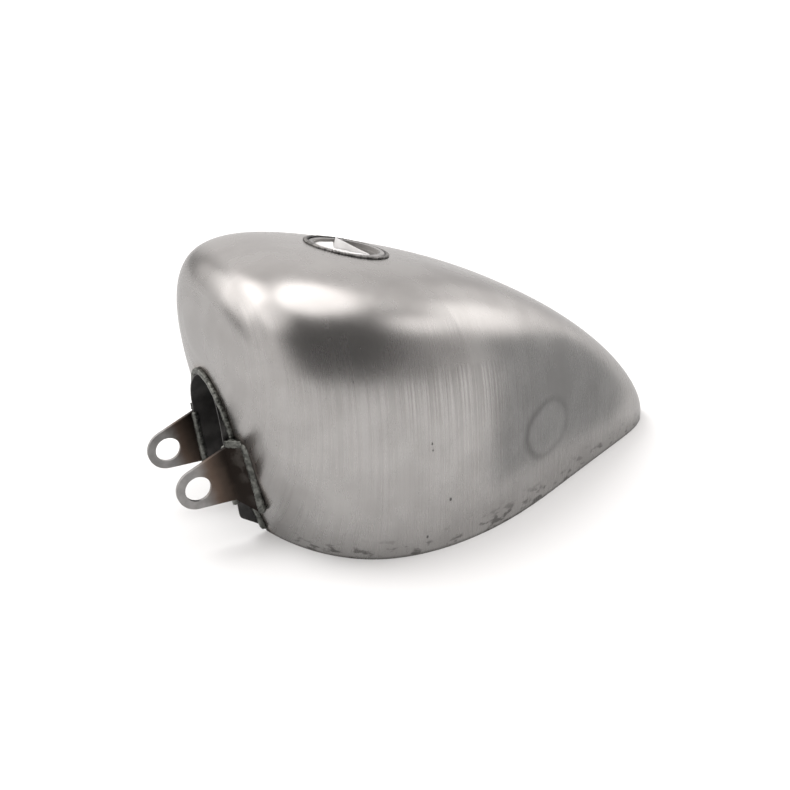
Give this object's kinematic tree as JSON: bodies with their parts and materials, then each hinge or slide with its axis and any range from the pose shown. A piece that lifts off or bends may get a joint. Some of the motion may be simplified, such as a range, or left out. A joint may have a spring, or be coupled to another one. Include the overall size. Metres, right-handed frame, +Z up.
{
  "type": "fuel tank",
  "caption": "Bare welded steel motorcycle fuel tank, teardrop shaped, with a backbone tunnel, front mounting ears, a filler neck and a paper dust seal.",
  "frame": {"origin": "on the axis of the front mounting holes, half way between the two ears", "axes": "+X forward along the motorcycle, +Y towards the rider's left along the front mounting bolt, +Z up"},
  "size_m": [0.4539, 0.2384, 0.208],
  "materials": {
    "pressed_steel": "bare, satin, with fine vertical brush marks",
    "plate_steel": "bare rolled plate, dull",
    "turned_steel": "bare, turned",
    "ear_steel": "bare, tinted brown by heat towards its bend",
    "weld_scale": "dark grey-green weld scale",
    "white_paper": "matt"
  },
  "bodies": {
    "tank": {"left_shell": "pressed_steel", "right_shell": "pressed_steel", "shell_seam_weld": "pressed_steel", "tunnel": "plate_steel", "left_bottom_pan": "plate_steel", "right_bottom_pan": "plate_steel", "rear_mount_bar": "plate_steel", "tap_bung": "turned_steel", "filler_neck": "turned_steel", "left_front_ear": "ear_steel", "right_front_ear": "ear_steel", "tunnel_front_weld": "weld_scale", "left_bottom_weld": "weld_scale", "right_bottom_weld": "weld_scale", "left_tunnel_weld": "weld_scale", "right_tunnel_weld": "weld_scale", "pan_seam_weld": "weld_scale", "left_ear_flange_weld": "weld_scale", "right_ear_flange_weld": "weld_scale", "left_ear_lip_weld": "weld_scale", "right_ear_lip_weld": "weld_scale", "filler_weld": "weld_scale", "tap_bung_weld": "weld_scale", "rear_bar_weld": "weld_scale"},
    "seal": {"dust_seal": "white_paper"}
  },
  "joints": [
    {"name": "dust_seal_lift", "type": "slide", "parent": "tank", "child": "seal", "axis": [-0.1994, 0, 0.9799], "range_m": [0, 0.07]}
  ]
}
